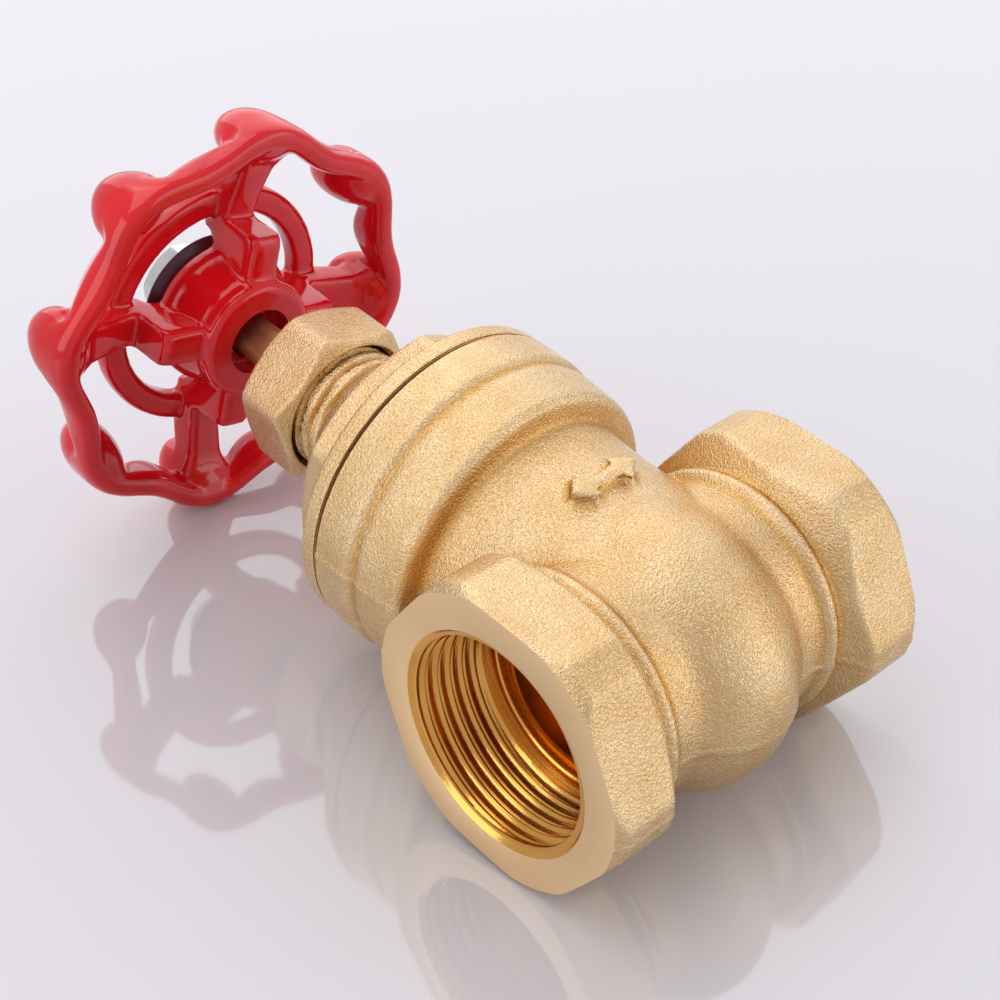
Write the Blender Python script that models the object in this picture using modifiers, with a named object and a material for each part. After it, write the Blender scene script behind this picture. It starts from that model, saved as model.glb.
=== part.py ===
"""Brass gate valve with a cast handwheel, lying on a table: the wheel's rim and the lower edges of both
hexagons touch the floor. World: +X along the flow, the stem points along +Y and slightly up, +Z up."""

import math

import bmesh
import bpy

MM = 0.001
AROUND = 40

# Lying pose: the table tilts the stem by LEAN, and the flow axis is AXIS_HEIGHT above the floor.
HEX_FLAT = 16.8
HEX_CORNER = 18.3
LEAN = math.radians(7.95)
AXIS_HEIGHT = HEX_FLAT * math.cos(LEAN) + math.sqrt(HEX_CORNER**2 - HEX_FLAT**2) * math.sin(LEAN)
STEM_MIDDLE = 35.195

# Ports, along the flow.
HALF_LENGTH = 24.4
HEX_INNER = 14.2
FACE_RADIUS = 16.2
SOCKET_RADIUS = 12.1
THREAD_RADIUS = 13.2
THREAD_PITCH = 1.814
SOCKET_DEPTH = 11.6
SEAT_BORE = 9.25
SEAT_RADIUS = 11.3
SEAT_GAP = 6.3

# Neck and bonnet, along the stem.
COLLAR_TOP = 33.7
COLLAR_RADIUS = 20.3
NECK_BORE = 16.0
CHAMBER_TOP = 26.4
FLANGE_BASE = 34.2
FLANGE_TOP = 36.8
BONNET_HEX = 16.0
SHOULDER_TOP = 47.0
SCREW_RADIUS = 8.3
NECK_TOP = 59.2
BOX_FLOOR = 49.0
BOX_RADIUS = 6.5
STEM_BORE = 4.1

# Packing nut.
NUT_FLAT = 9.75
NUT_CORNER = 10.9
NUT_BASE = 52.4
NUT_TOP = 60.9
NUT_TURN = math.radians(13.6)

# Wedge.
DISC_RADIUS = 10.7
DISC_HALF = 5.9

# Handwheel.
HUB_BASE = 70.4
HUB_TOP = 80.9
RIM_BASE = 73.3
RIM_TOP = 79.2
RIM_OUT = 27.6
RIM_IN = 24.0
LOBES = 8
LOBE_OUT = 1.1
LOBE_IN = 1.1
WHEEL_TURN = math.radians(12.0)
RING_BASE = 80.3
RING_TOP = 83.2
SQUARE = 6.0


def clear_scene():
    for thing in list(bpy.data.objects):
        bpy.data.objects.remove(thing, do_unlink=True)
    for group in list(bpy.data.collections):
        bpy.data.collections.remove(group)


def new_collection(name):
    group = bpy.data.collections.new(name)
    bpy.context.scene.collection.children.link(group)
    return group


def new_empty(name, group, parent=None, place=(0.0, 0.0, 0.0)):
    empty = bpy.data.objects.new(name, None)
    empty.empty_display_size = 0.01
    empty.location = place
    empty.parent = parent
    group.objects.link(empty)
    return empty


def new_material(name, colour, metallic, roughness):
    material = bpy.data.materials.new(name)
    material.use_nodes = True
    shader = material.node_tree.nodes["Principled BSDF"]
    shader.inputs["Base Color"].default_value = (*colour, 1.0)
    shader.inputs["Metallic"].default_value = metallic
    shader.inputs["Roughness"].default_value = roughness
    return material


def new_object(name, mesh):
    """A hidden solid: finish() brings those that are pieces of the valve into sight."""
    made = bpy.data.objects.new(name, mesh)
    HELPERS.objects.link(made)
    made.hide_render = True
    made.display_type = "WIRE"
    return made


def lathe(name, profile, steps=AROUND):
    """Solid of revolution about Z: the profile is a list of (radius, height) in mm, from the top down its
    outer side, and its ends lie on the axis or meet."""
    mesh = bpy.data.meshes.new(name)
    points = [(radius * MM, 0.0, height * MM) for radius, height in profile]
    ring = profile[0][0] > 0.0
    edges = [(i, i + 1) for i in range(len(points) - 1)]
    if ring:
        edges.append((len(points) - 1, 0))
    mesh.from_pydata(points, edges, [])
    made = new_object(name, mesh)
    screw = made.modifiers.new("Screw", "SCREW")
    screw.axis = "Z"
    screw.steps = steps
    screw.render_steps = steps
    screw.use_merge_vertices = True
    screw.merge_threshold = 0.00001
    return made


def flat_sided(name, outlines, base, top, round_edge=0.0):
    """Solid with straight sides between two heights: each outline is a closed list of (x, y) in mm, the
    later ones are holes."""
    curve = bpy.data.curves.new(name, "CURVE")
    curve.dimensions = "2D"
    curve.fill_mode = "BOTH"
    curve.extrude = (0.5 * (top - base) - round_edge) * MM
    curve.bevel_depth = round_edge * MM
    curve.bevel_resolution = 1
    curve.offset = -round_edge * MM
    for outline in outlines:
        spline = curve.splines.new("POLY")
        spline.points.add(len(outline) - 1)
        for point, (x, y) in zip(spline.points, outline):
            point.co = (x * MM, y * MM, 0.0, 1.0)
        spline.use_cyclic_u = True
    source = bpy.data.objects.new(name + "_curve", curve)
    HELPERS.objects.link(source)
    source.location.z = 0.5 * (base + top) * MM
    bpy.context.view_layer.update()
    graph = bpy.context.evaluated_depsgraph_get()
    mesh = bpy.data.meshes.new_from_object(source.evaluated_get(graph))
    mesh.transform(source.matrix_world)
    bpy.data.objects.remove(source, do_unlink=True)
    welded = bmesh.new()
    welded.from_mesh(mesh)
    bmesh.ops.remove_doubles(welded, verts=welded.verts, dist=0.000001)
    bmesh.ops.recalc_face_normals(welded, faces=welded.faces)
    welded.to_mesh(mesh)
    welded.free()
    return new_object(name, mesh)


def box(name, centre, size):
    mesh = bpy.data.meshes.new(name)
    cube = bmesh.new()
    bmesh.ops.create_cube(cube, size=1.0)
    for corner in cube.verts:
        corner.co = [MM * (c + s * v) for c, s, v in zip(centre, size, corner.co)]
    cube.to_mesh(mesh)
    cube.free()
    return new_object(name, mesh)


def ball(name, centre, radii, segments):
    mesh = bpy.data.meshes.new(name)
    sphere = bmesh.new()
    bmesh.ops.create_uvsphere(sphere, u_segments=segments, v_segments=segments // 2, radius=1.0)
    for point in sphere.verts:
        point.co = [MM * (c + r * v) for c, r, v in zip(centre, radii, point.co)]
    sphere.to_mesh(mesh)
    sphere.free()
    return new_object(name, mesh)


def turned(thing, rotation=(0.0, 0.0, 0.0), place=(0.0, 0.0, 0.0)):
    """Bakes the modifiers, then a rotation and a move in mm, into the mesh."""
    thing.rotation_euler = rotation
    thing.location = [MM * value for value in place]
    bpy.context.view_layer.update()
    graph = bpy.context.evaluated_depsgraph_get()
    mesh = bpy.data.meshes.new_from_object(thing.evaluated_get(graph))
    mesh.transform(thing.matrix_world)
    thing.modifiers.clear()
    thing.data = mesh
    thing.rotation_euler = (0.0, 0.0, 0.0)
    thing.location = (0.0, 0.0, 0.0)
    return thing


def combine(thing, others, operation):
    for other in others:
        step = thing.modifiers.new(operation.title(), "BOOLEAN")
        step.operation = operation
        step.solver = "EXACT"
        step.object = other
    return turned(thing)


def hexagon(flat, turn=0.0, sides=6):
    corner = flat / math.cos(math.pi / sides)
    angles = [turn + 2.0 * math.pi * i / sides for i in range(sides)]
    return [(corner * math.cos(angle), corner * math.sin(angle)) for angle in angles]


def along_flow(thing):
    """Turns a piece built about Z so that it runs along X."""
    return turned(thing, (0.0, math.radians(90), 0.0))


def finish(thing, name, material):
    """Names the piece, moves it among the visible pieces and sets its shading."""
    HELPERS.objects.unlink(thing)
    VALVE.objects.link(thing)
    thing.hide_render = False
    thing.display_type = "TEXTURED"
    thing.name = name
    thing.data.name = name
    thing.data.materials.clear()
    thing.data.materials.append(material)
    thing.data.shade_smooth()
    thing.data.set_sharp_from_angle(angle=math.radians(32))
    return thing


clear_scene()
VALVE = new_collection("gate_valve")
HELPERS = new_collection("helpers")
HELPERS.hide_render = True
CAST_BRASS = new_material("cast_brass", (0.80, 0.62, 0.34), 1.0, 0.42)
BAR_BRASS = new_material("bar_brass", (0.72, 0.50, 0.24), 1.0, 0.30)
GREY_FIBRE = new_material("grey_fibre", (0.30, 0.30, 0.31), 0.0, 0.85)
WHITE_SEAL = new_material("white_seal", (0.82, 0.82, 0.79), 0.0, 0.55)
RED_ENAMEL = new_material("red_enamel", (0.62, 0.02, 0.03), 0.0, 0.18)
ZINC_STEEL = new_material("zinc_steel", (0.72, 0.73, 0.74), 1.0, 0.28)
BLACK_PLATE = new_material("plate_steel", (0.25, 0.23, 0.24), 1.0, 0.40)


# Body: outside. Two hexagons with turned corners on the flow axis, a round belly and a banded neck.
outer = along_flow(
    lathe(
        "body",
        [
            (0.0, HALF_LENGTH),
            (FACE_RADIUS, HALF_LENGTH),
            (HEX_CORNER, HALF_LENGTH - 2.4),
            (HEX_CORNER, HEX_INNER + 2.2),
            (14.9, HEX_INNER + 0.2),
            (14.4, HEX_INNER - 0.3),
            (15.2, 13.3),
            (15.2, 12.7),
            (14.2, 11.9),
            (14.2, -11.9),
            (15.2, -12.7),
            (15.2, -13.3),
            (14.4, 0.3 - HEX_INNER),
            (14.9, -HEX_INNER - 0.2),
            (HEX_CORNER, -HEX_INNER - 2.2),
            (HEX_CORNER, 2.4 - HALF_LENGTH),
            (FACE_RADIUS, -HALF_LENGTH),
            (0.0, -HALF_LENGTH),
        ],
    )
)
flats = along_flow(flat_sided("hex_flats", [hexagon(HEX_FLAT)], -HALF_LENGTH - 1.0, HALF_LENGTH + 1.0))
outer = combine(outer, [flats], "INTERSECT")
belly = ball("belly", (0.0, 0.0, 0.0), (12.6, 17.0, 18.0), AROUND)
neck = lathe(
    "neck",
    [
        (0.0, COLLAR_TOP),
        (COLLAR_RADIUS - 0.4, COLLAR_TOP),
        (COLLAR_RADIUS, COLLAR_TOP - 0.4),
        (COLLAR_RADIUS, 29.0),
        (COLLAR_RADIUS - 0.7, 28.0),
        (COLLAR_RADIUS - 0.5, 27.0),
        (COLLAR_RADIUS - 0.9, 22.3),
        (COLLAR_RADIUS - 1.5, 21.5),
        (17.2, 20.0),
        (16.4, 17.5),
        (15.9, 2.0),
        (0.0, 2.0),
    ],
)
body = combine(outer, [belly, neck], "UNION")

# Body: the raised two-way flow mark on the front of the neck.
mark = flat_sided(
    "flow_mark",
    [
        [
            (-5.0, 0.0),
            (-2.6, 2.2),
            (-2.6, 0.7),
            (2.6, 0.7),
            (2.6, 2.2),
            (5.0, 0.0),
            (2.6, -2.2),
            (2.6, -0.7),
            (-2.6, -0.7),
            (-2.6, -2.2),
        ]
    ],
    -2.0,
    2.0,
)
mark = turned(mark, (math.radians(90), 0.0, 0.0), (0.0, -14.95, 10.5))
body = combine(body, [mark], "UNION")

# Body: inside. A threaded socket at each end, round seats, the wedge chamber and the bonnet's thread.
socket_profile = [(0.0, HALF_LENGTH + 1.0), (14.5, HALF_LENGTH + 1.0), (13.5, HALF_LENGTH)]
crest = HALF_LENGTH - 1.2
while crest - THREAD_PITCH > HALF_LENGTH - SOCKET_DEPTH + 1.2:
    socket_profile += [
        (SOCKET_RADIUS, crest),
        (SOCKET_RADIUS, crest - 0.30 * THREAD_PITCH),
        (THREAD_RADIUS, crest - 0.60 * THREAD_PITCH),
        (THREAD_RADIUS, crest - 0.70 * THREAD_PITCH),
    ]
    crest -= THREAD_PITCH
socket_profile += [
    (SOCKET_RADIUS, crest),
    (SOCKET_RADIUS, HALF_LENGTH - SOCKET_DEPTH + 1.4),
    (THREAD_RADIUS, HALF_LENGTH - SOCKET_DEPTH + 1.2),
    (THREAD_RADIUS, HALF_LENGTH - SOCKET_DEPTH),
    (SEAT_BORE, HALF_LENGTH - SOCKET_DEPTH),
    (SEAT_BORE, 1.0),
    (0.0, 1.0),
]
sockets = [
    turned(lathe("socket", socket_profile, steps=36), (0.0, math.radians(side * 90), 0.0))
    for side in (1, -1)
]
chamber_outline = [(12.4, 27.5), (-12.4, 27.5), (-12.4, -1.0)]
for i in range(11):
    angle = math.radians(195 + 15 * i)
    chamber_outline.append((11.7 * math.cos(angle), 11.7 * math.sin(angle)))
chamber_outline.append((12.4, -1.0))
chamber = turned(
    flat_sided("chamber", [chamber_outline], -7.2, 7.2),
    (math.radians(90), 0.0, math.radians(90)),
)
seats = [
    turned(
        lathe("seat", [(0.0, 8.0), (SEAT_RADIUS, 8.0), (SEAT_RADIUS, SEAT_GAP), (0.0, SEAT_GAP)], steps=40),
        (0.0, math.radians(side * 90), 0.0),
    )
    for side in (1, -1)
]
guides = [box("guide", (0.0, side * 12.3, 7.4), (2.0, 1.6, 38.0)) for side in (1, -1)]
chamber = combine(chamber, seats + guides, "DIFFERENCE")
top_bore = lathe(
    "top_bore",
    [
        (0.0, COLLAR_TOP + 1.0),
        (19.0, COLLAR_TOP + 1.0),
        (19.0, 32.5),
        (NECK_BORE, 32.5),
        (NECK_BORE, CHAMBER_TOP),
        (0.0, CHAMBER_TOP),
    ],
)
body = combine(body, [chamber], "DIFFERENCE")
body = combine(body, sockets + [top_bore], "DIFFERENCE")
body = finish(body, "body", CAST_BRASS)


# Bonnet: flange over the collar, a low hexagon, a cone, the screwed neck and the screwed skirt below.
bonnet = lathe(
    "bonnet",
    [
        (0.0, SHOULDER_TOP + 1.0),
        (10.4, SHOULDER_TOP - 0.9),
        (11.0, SHOULDER_TOP - 1.4),
        (12.0, 44.2),
        (16.4, 41.6),
        (18.2, 40.2),
        (18.2, FLANGE_TOP - 1.0),
        (0.0, FLANGE_TOP - 1.0),
    ],
)
bonnet_flats = flat_sided("bonnet_flats", [hexagon(BONNET_HEX, math.radians(30))], FLANGE_TOP - 2.0, 50.0)
bonnet = combine(bonnet, [bonnet_flats], "INTERSECT")
flange = lathe(
    "flange",
    [
        (0.0, FLANGE_TOP),
        (19.6, FLANGE_TOP),
        (20.4, FLANGE_TOP - 0.6),
        (20.4, FLANGE_BASE + 0.3),
        (20.1, FLANGE_BASE),
        (15.6, FLANGE_BASE),
        (15.6, CHAMBER_TOP + 0.6),
        (0.0, CHAMBER_TOP + 0.6),
    ],
)
screwed_neck = lathe(
    "screwed_neck",
    [
        (0.0, NECK_TOP),
        (SCREW_RADIUS - 0.6, NECK_TOP),
        (SCREW_RADIUS, NECK_TOP - 0.6),
        (SCREW_RADIUS, 51.6),
        (SCREW_RADIUS - 0.9, 50.9),
        (SCREW_RADIUS - 0.9, 50.5),
        (SCREW_RADIUS, 49.8),
        (SCREW_RADIUS - 0.9, 49.0),
        (SCREW_RADIUS - 0.9, 48.6),
        (SCREW_RADIUS, 47.9),
        (SCREW_RADIUS, 44.0),
        (0.0, 44.0),
    ],
)
bonnet = combine(bonnet, [flange, screwed_neck], "UNION")
bonnet_bore = lathe(
    "bonnet_bore",
    [
        (0.0, NECK_TOP + 1.0),
        (BOX_RADIUS, NECK_TOP + 1.0),
        (BOX_RADIUS, BOX_FLOOR),
        (STEM_BORE, BOX_FLOOR),
        (STEM_BORE, 40.6),
        (9.0, 39.4),
        (13.3, 37.4),
        (13.3, CHAMBER_TOP - 1.0),
        (0.0, CHAMBER_TOP - 1.0),
    ],
)
bonnet = combine(bonnet, [bonnet_bore], "DIFFERENCE")
bonnet = finish(bonnet, "bonnet", CAST_BRASS)


# Ring pieces that sit on the stem axis: name, inner and outer radius, base, top, edge and material.
RINGS = [
    ("bonnet_gasket", 16.1, 18.5, 32.8, 33.9, 0.15, GREY_FIBRE),
    ("thrust_washer", 3.6, 6.2, 51.5, 52.2, 0.1, BAR_BRASS),
    ("packing_ring_lower", 3.6, 6.2, 52.5, 53.9, 0.25, WHITE_SEAL),
    ("packing_ring_middle", 3.6, 6.2, 54.2, 55.6, 0.25, WHITE_SEAL),
    ("packing_ring_upper", 3.6, 6.2, 55.9, 57.3, 0.25, WHITE_SEAL),
    ("gland_follower", 3.6, 6.2, 57.6, 59.5, 0.2, BAR_BRASS),
]
rings = {}
for name, inside, outside, base, top, edge, material in RINGS:
    ring = lathe(
        name,
        [
            (outside - edge, top),
            (outside, top - edge),
            (outside, base + edge),
            (outside - edge, base),
            (inside + edge, base),
            (inside, base + edge),
            (inside, top - edge),
            (inside + edge, top),
        ],
        steps=20,
    )
    rings[name] = finish(turned(ring), name, material)


# Packing nut: a hexagon with turned corners, screwed over the bonnet's neck, with a hole for the stem.
packing_nut = lathe(
    "packing_nut",
    [
        (0.0, NUT_TOP),
        (NUT_FLAT, NUT_TOP),
        (NUT_CORNER, NUT_TOP - 0.7),
        (NUT_CORNER, NUT_BASE + 1.2),
        (NUT_FLAT - 0.5, NUT_BASE),
        (0.0, NUT_BASE),
    ],
)
nut_flats = flat_sided("nut_flats", [hexagon(NUT_FLAT, NUT_TURN)], NUT_BASE - 1.0, NUT_TOP + 1.0)
packing_nut = combine(packing_nut, [nut_flats], "INTERSECT")
nut_bore = lathe(
    "nut_bore",
    [
        (0.0, NUT_TOP + 1.0),
        (3.8, NUT_TOP + 1.0),
        (3.8, NUT_TOP - 1.1),
        (SCREW_RADIUS + 0.3, NUT_TOP - 1.1),
        (SCREW_RADIUS + 0.3, NUT_BASE + 0.4),
        (SCREW_RADIUS + 0.7, NUT_BASE - 1.0),
        (0.0, NUT_BASE - 1.0),
    ],
)
packing_nut = combine(packing_nut, [nut_bore], "DIFFERENCE")
packing_nut = finish(packing_nut, "packing_nut", CAST_BRASS)


# Stem: threaded end in the wedge, thrust collar in the packing box, squared end and nut thread on top.
stem = lathe(
    "stem",
    [
        (0.0, 89.2),
        (2.2, 89.2),
        (2.8, 88.6),
        (2.8, 81.2),
        (3.25, 81.0),
        (3.25, 52.0),
        (3.25, 51.2),
        (6.1, 51.2),
        (6.1, 49.3),
        (3.6, 49.3),
        (3.6, 3.0),
        (2.8, 2.2),
        (0.0, 2.2),
    ],
    steps=40,
)
square_flats = flat_sided("square_flats", [hexagon(0.5 * SQUARE - 0.35, WHEEL_TURN, 4)], 62.0, 82.0)
square_sleeve = lathe("square_sleeve", [(0.0, 81.0), (8.0, 81.0), (8.0, 62.6), (0.0, 62.6)], steps=24)
square_cut = combine(square_sleeve, [square_flats], "DIFFERENCE")
stem = combine(stem, [square_cut], "DIFFERENCE")
stem = finish(stem, "stem", BAR_BRASS)


# Wedge: a disc with flat sides that close on the seats, a block above it for the stem's thread, and a
# hole right through, in which the stem stands when the wedge is up.
wedge = turned(
    lathe(
        "wedge",
        [
            (0.0, DISC_HALF),
            (DISC_RADIUS - 0.3, DISC_HALF),
            (DISC_RADIUS, DISC_HALF - 0.3),
            (DISC_RADIUS, 0.3 - DISC_HALF),
            (DISC_RADIUS - 0.3, -DISC_HALF),
            (0.0, -DISC_HALF),
        ],
    ),
    (0.0, math.radians(90), 0.0),
)
wedge_head = lathe("wedge_head", [(0.0, 15.0), (6.2, 15.0), (6.8, 14.4), (6.8, 4.0), (0.0, 4.0)])
wedge_sides = box("wedge_sides", (0.0, 0.0, 9.0), (2.0 * DISC_HALF - 0.4, 15.0, 14.0))
wedge_head = combine(wedge_head, [wedge_sides], "INTERSECT")
lugs = box("lugs", (0.0, 0.0, 4.0), (5.6, 23.8, 10.0))
wedge = combine(wedge, [wedge_head, lugs], "UNION")
stem_hole = lathe("stem_hole", [(0.0, 16.0), (3.9, 16.0), (3.9, -12.0), (0.0, -12.0)], steps=32)
slots = [box("slot", (0.0, side * 12.1, 4.0), (2.8, 2.0, 16.0)) for side in (1, -1)]
wedge = combine(wedge, [stem_hole] + slots, "DIFFERENCE")
wedge = finish(wedge, "wedge", CAST_BRASS)


# Handwheel: bell-shaped hub, four deep ribs that run out as spokes, a raised ring, and a lobed rim with a
# rounded knob on the outer side of each lobe.
def lobed(radius, depth):
    count = LOBES * 10
    angles = [2.0 * math.pi * i / count for i in range(count)]
    return [
        (
            (radius + depth * math.cos(LOBES * (angle - WHEEL_TURN))) * math.cos(angle),
            (radius + depth * math.cos(LOBES * (angle - WHEEL_TURN))) * math.sin(angle),
        )
        for angle in angles
    ]


rim = flat_sided("rim", [lobed(RIM_OUT, LOBE_OUT), lobed(RIM_IN, LOBE_IN)], RIM_BASE, RIM_TOP, 1.5)
crown = lathe(
    "crown",
    [(0.0, RIM_TOP + 1.0), (23.6, RIM_TOP + 1.0), (26.6, 76.4), (30.0, 73.7), (30.0, 72.0), (0.0, 72.0)],
    steps=80,
)
rim = combine(rim, [crown], "INTERSECT")
knobs = []
for lobe in range(LOBES):
    knob = ball("knob", (24.9, 0.0, 79.2), (3.3, 4.6, 5.5), 20)
    knobs.append(turned(knob, (0.0, 0.0, WHEEL_TURN + lobe * 2.0 * math.pi / LOBES)))
hub = lathe(
    "hub",
    [
        (0.0, HUB_TOP),
        (8.6, HUB_TOP),
        (9.7, HUB_TOP - 1.2),
        (9.6, HUB_TOP - 3.0),
        (8.6, 75.0),
        (8.0, 73.0),
        (8.2, HUB_BASE + 0.8),
        (7.4, HUB_BASE),
        (0.0, HUB_BASE),
    ],
)
spokes = []
for quarter in range(4):
    turn = (0.0, 0.0, WHEEL_TURN + quarter * math.pi / 2.0)
    rib = turned(
        flat_sided(
            "spoke",
            [
                [
                    (6.0, 71.9),
                    (13.0, 71.9),
                    (14.0, 72.9),
                    (14.0, 78.3),
                    (26.0, 75.6),
                    (26.0, 79.0),
                    (17.0, 82.7),
                    (12.6, 82.7),
                    (8.8, 79.9),
                    (6.0, 79.9),
                ]
            ],
            -2.4,
            2.4,
            0.5,
        ),
        (math.radians(90), 0.0, 0.0),
    )
    spokes.append(turned(rib, turn))
ring = lathe(
    "ring",
    [
        (16.6, RING_TOP),
        (17.2, RING_TOP - 0.6),
        (17.2, RING_BASE + 0.5),
        (16.8, RING_BASE),
        (14.2, RING_BASE),
        (13.8, RING_BASE + 0.5),
        (13.8, RING_TOP - 0.6),
        (14.4, RING_TOP),
    ],
)
handwheel = combine(hub, spokes + [ring, rim] + knobs, "UNION")
entry = lathe("entry", [(0.0, 73.2), (4.7, 73.2), (4.7, 69.0), (0.0, 69.0)], steps=32)
square_hole = flat_sided("square_hole", [hexagon(0.5 * SQUARE, WHEEL_TURN, 4)], 72.0, 82.0)
handwheel = combine(handwheel, [entry, square_hole], "DIFFERENCE")
handwheel = finish(handwheel, "handwheel", RED_ENAMEL)


# Name plate: a thin dished disc, blank, on top of the hub.
name_plate = lathe(
    "name_plate",
    [
        (3.2, 82.0),
        (8.4, 82.0),
        (9.4, 82.8),
        (9.7, 82.5),
        (8.6, 81.3),
        (3.2, 81.3),
    ],
)
name_plate = finish(turned(name_plate), "name_plate", BLACK_PLATE)


# Handwheel nut: a flanged hexagon nut on the end of the stem.
wheel_nut = lathe(
    "handwheel_nut",
    [(0.0, 88.3), (5.6, 88.3), (6.6, 87.5), (6.6, 84.0), (0.0, 84.0)],
    steps=36,
)
wheel_nut_flats = flat_sided("wheel_nut_flats", [hexagon(5.75, 0.3)], 83.0, 89.3)
wheel_nut = combine(wheel_nut, [wheel_nut_flats], "INTERSECT")
nut_flange = lathe(
    "nut_flange",
    [(0.0, 85.2), (6.2, 85.2), (7.5, 83.4), (7.5, 82.5), (0.0, 82.5)],
    steps=36,
)
wheel_nut = combine(wheel_nut, [nut_flange], "UNION")
wheel_nut_hole = lathe("wheel_nut_hole", [(0.0, 89.5), (3.1, 89.5), (3.1, 82.0), (0.0, 82.0)], steps=36)
wheel_nut = combine(wheel_nut, [wheel_nut_hole], "DIFFERENCE")
wheel_nut = finish(wheel_nut, "handwheel_nut", ZINC_STEEL)


# Lying pose: one root for the still pieces, one empty on the stem axis for the pieces that turn, and one
# for the wedge that slides.
root = new_empty("gate_valve_root", VALVE)
spin = new_empty("stem_spin_axis", VALVE, root)
slide = new_empty("wedge_slide_axis", VALVE, root)
root.rotation_euler.x = LEAN - math.radians(90)
root.location = (0.0, -STEM_MIDDLE * MM, AXIS_HEIGHT * MM)
for thing in [body, bonnet, packing_nut, *rings.values()]:
    thing.parent = root
for thing in [stem, handwheel, name_plate, wheel_nut]:
    thing.parent = spin
wedge.parent = slide
bpy.context.view_layer.update()
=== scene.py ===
"""A brass gate valve with a red handwheel, lying on a pale table. The file follows the valve as it is put
together: body, bonnet and rings, packing nut, stem, wedge, handwheel, name plate, nut, then the table.
Each piece is worked out in the valve's own axes, in mm: x along the flow, y across, z up the stem."""

import bpy
import math
import numpy as np
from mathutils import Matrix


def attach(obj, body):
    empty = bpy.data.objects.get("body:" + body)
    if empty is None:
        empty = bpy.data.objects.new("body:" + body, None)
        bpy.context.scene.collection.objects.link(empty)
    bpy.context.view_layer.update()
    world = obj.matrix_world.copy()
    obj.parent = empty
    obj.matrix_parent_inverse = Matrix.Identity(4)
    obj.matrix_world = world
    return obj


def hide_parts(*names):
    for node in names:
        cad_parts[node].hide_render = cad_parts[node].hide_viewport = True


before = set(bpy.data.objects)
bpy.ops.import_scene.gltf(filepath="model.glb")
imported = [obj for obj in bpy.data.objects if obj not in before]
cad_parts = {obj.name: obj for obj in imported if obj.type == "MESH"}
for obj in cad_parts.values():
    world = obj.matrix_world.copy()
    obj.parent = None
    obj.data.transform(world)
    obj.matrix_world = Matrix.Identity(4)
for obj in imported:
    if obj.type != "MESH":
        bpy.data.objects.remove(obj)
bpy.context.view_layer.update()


# Body: a hot-pressed brass casting, blasted with fine grit, with a threaded socket bored into each hexagon.
# The casting is skinned here with its rounded corners, and the tools' cuts are then taken out of it.
LEAN = math.radians(7.95)
STEM_MIDDLE = 35.195
AXIS_HEIGHT = 17.642
HALF_LENGTH = 24.4
HEX_FLAT = 16.8
THREAD_PITCH = 1.814
THREAD_ROOT = 13.2
THREAD_CREST = 12.1
SEAM_HEIGHT = 0.16
SEAM_WIDTH = 0.38
BRASS = (0.72, 0.47, 0.205, 1.0)
# Darker brass: the random dark crystals, and painted shade in creases and hollows.
BRASS_DARK_CRYSTALS_AND_CREASE_SHADE = (0.66, 0.38, 0.12, 1.0)
BRASS_PALE = (0.80, 0.58, 0.31, 1.0)


def lay_down(points):
    """From the valve's own axes in mm to the table in metres: a turn about the flow axis that leans the
    stem by LEAN above the table, then a shift that sets the middle of the valve at the origin."""
    x, y, z = points[..., 0], points[..., 1], points[..., 2]
    along = y * math.sin(LEAN) + z * math.cos(LEAN) - STEM_MIDDLE
    up = z * math.sin(LEAN) - y * math.cos(LEAN) + AXIS_HEIGHT
    return np.stack([x, along, up], axis=-1) * 0.001


def skin(name, rings, loop=False):
    """Closed mesh over a grid of points, rings x points round each ring x 3: neighbours are joined by quads.
    The two end rings are closed by fans to their middle, or with loop the last ring joins the first."""
    rows, columns = rings.shape[:2]
    index = np.arange(rows * columns).reshape(rows, columns)
    if loop:
        index = np.vstack([index, index[:1]])
    low, high = index[:-1], index[1:]
    quads = np.stack([low, np.roll(low, -1, 1), np.roll(high, -1, 1), high], axis=-1).reshape(-1, 4)
    points = rings.reshape(-1, 3)
    fans = np.zeros((0, 3), int)
    if not loop:
        first, last = index[0], index[-1]
        middle = np.full(columns, rows * columns)
        low_fan = np.stack([np.roll(first, -1), first, middle], axis=-1)
        high_fan = np.stack([last, np.roll(last, -1), middle + 1], axis=-1)
        fans = np.vstack([low_fan, high_fan])
        points = np.vstack([points, rings[0].mean(0), rings[-1].mean(0)])
    a, b, c = np.moveaxis(points[np.vstack([quads[:, :3], quads[:, [0, 2, 3]], fans])], 1, 0)
    if np.einsum("ij,ij->", a, np.cross(b, c)) < 0:
        quads, fans = quads[:, ::-1], fans[:, ::-1]
    faces = quads.tolist() + fans.tolist()
    mesh = bpy.data.meshes.new(name)
    mesh.from_pydata(lay_down(points).tolist(), [], faces)
    mesh.shade_smooth()
    made = bpy.data.objects.new(name, mesh)
    bpy.context.scene.collection.objects.link(made)
    return made


def rounded(corners, radius, steps=4):
    """Path through (radius, height) corners with each corner eased: a quadratic curve that starts and ends
    the given distance before and after the corner, or 0.45 of the shorter side if that is less."""
    corners = np.asarray(corners, float)
    before = np.roll(corners, 1, 0) - corners
    after = np.roll(corners, -1, 0) - corners
    reach_before = np.linalg.norm(before, axis=1, keepdims=True)
    reach_after = np.linalg.norm(after, axis=1, keepdims=True)
    reach = np.minimum(radius, 0.45 * np.minimum(reach_before, reach_after))
    start = corners + before / reach_before * reach
    end = corners + after / reach_after * reach
    t = np.linspace(0.0, 1.0, steps).reshape(1, -1, 1)
    path = (1 - t) ** 2 * start[:, None] + 2 * t * (1 - t) * corners[:, None] + t**2 * end[:, None]
    return path.reshape(-1, 2)


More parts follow.
